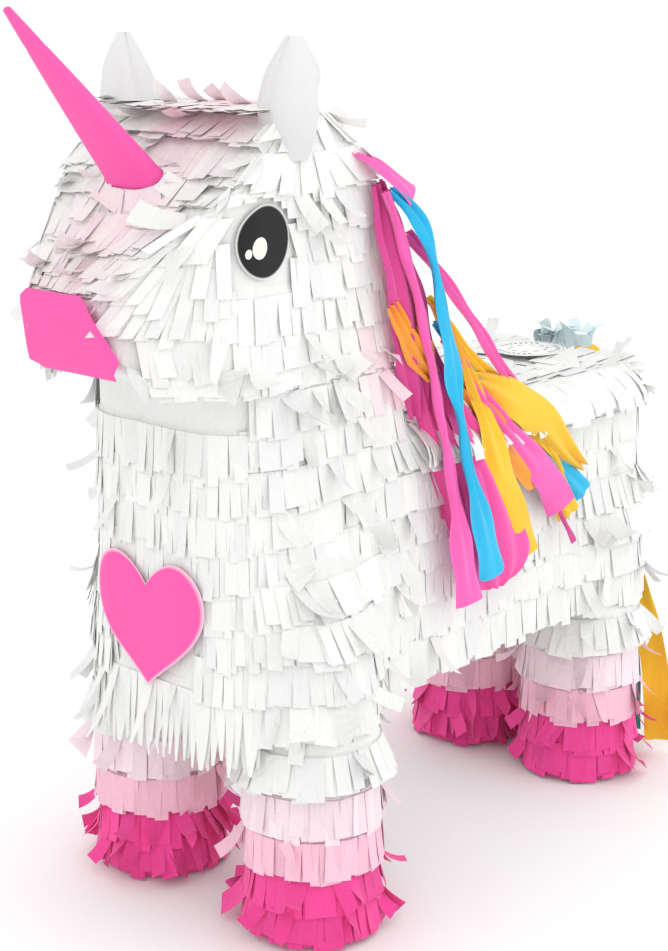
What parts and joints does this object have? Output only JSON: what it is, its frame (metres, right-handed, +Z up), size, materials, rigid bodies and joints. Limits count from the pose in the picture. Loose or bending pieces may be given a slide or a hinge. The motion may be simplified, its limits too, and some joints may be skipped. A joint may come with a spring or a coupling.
{
  "type": "pinata",
  "caption": "Unicorn-shaped pinata: card core covered in cut tissue fringe, paper horn, ears, heart and nose, streamer mane and tail, flap in the back for filling.",
  "frame": {"origin": "On the ground, midway between the tip of the horn and the rear of the tail, in the middle plane of the body.", "axes": "+Z up, -Y towards the nose, +X towards the animal's left side, where the mane hangs."},
  "size_m": [0.213, 0.5238, 0.538],
  "materials": {
    "card": "plain kraft card",
    "label_paper": "smooth printed paper",
    "white_tissue": "cut tissue fringe",
    "pale_pink_tissue": "cut tissue fringe",
    "light_pink_tissue": "cut tissue fringe",
    "hot_pink_tissue": "cut tissue fringe",
    "pink_paper": "smooth coloured paper",
    "white_paper": "folded paper",
    "eye_sticker": "satin printed paper",
    "glint_sticker": "satin printed paper",
    "pink_crepe": "crepe streamer",
    "yellow_crepe": "crepe streamer",
    "orange_crepe": "crepe streamer",
    "turquoise_crepe": "crepe streamer",
    "teal_crepe": "crepe streamer",
    "pale_blue_tissue": "loose tissue"
  },
  "bodies": {
    "root": {"chest_board": "card", "left_side_board": "card", "right_side_board": "card", "belly_board": "card", "rump_board": "card", "rump_bevel_board": "card", "back_board": "card", "hang_plate": "card", "nape_board": "card", "poll_board": "card", "crown_board": "card", "forehead_board": "card", "muzzle_board": "card", "chin_board": "card", "jaw_board": "card", "left_cheek_board": "card", "right_cheek_board": "card", "front_left_tube": "card", "front_right_tube": "card", "rear_left_tube": "card", "rear_right_tube": "card", "soles": "card", "front_left_fringe": "white_tissue", "front_right_fringe": "white_tissue", "rear_left_fringe": "white_tissue", "rear_right_fringe": "white_tissue", "pale_cuffs": "pale_pink_tissue", "pink_cuffs": "light_pink_tissue", "front_left_hoof": "hot_pink_tissue", "front_right_hoof": "hot_pink_tissue", "rear_left_hoof": "hot_pink_tissue", "rear_right_hoof": "hot_pink_tissue", "chest_fringe": "white_tissue", "body_fringe": "white_tissue", "head_fringe": "white_tissue", "horn": "pink_paper", "left_ear": "white_paper", "right_ear": "white_paper", "left_eye": "eye_sticker", "right_eye": "eye_sticker", "eye_glints": "glint_sticker", "heart_patch": "pink_paper", "nose_patch": "pink_paper", "mane_header": "hot_pink_tissue", "mane_lobe": "hot_pink_tissue", "mane_yellow": "yellow_crepe", "mane_pink": "pink_crepe", "mane_orange": "orange_crepe", "tail_tuft": "pale_blue_tissue"},
    "flap": {"fill_flap": "card", "flap_fringe": "white_tissue", "fill_label": "label_paper"},
    "long_streamers": {"long_pink": "pink_crepe", "long_turquoise": "turquoise_crepe"},
    "tail": {"tail_band": "yellow_crepe", "tail_yellow": "yellow_crepe", "tail_teal": "teal_crepe", "tail_pink": "pink_crepe"}
  },
  "joints": [
    {"name": "flap_hinge", "type": "hinge", "parent": "root", "child": "flap", "pos_m": [0, 0.15688, 0.3002], "axis": [1, 0, 0], "range_deg": [0, 110]},
    {"name": "streamer_swing", "type": "hinge", "parent": "root", "child": "long_streamers", "pos_m": [0.0848, -0.06599, 0.44569], "axis": [0, -1, 0], "range_deg": [0, 35]},
    {"name": "tail_swing", "type": "hinge", "parent": "root", "child": "tail", "pos_m": [0, 0.24553, 0.288], "axis": [1, 0, 0], "range_deg": [0, 75]}
  ]
}
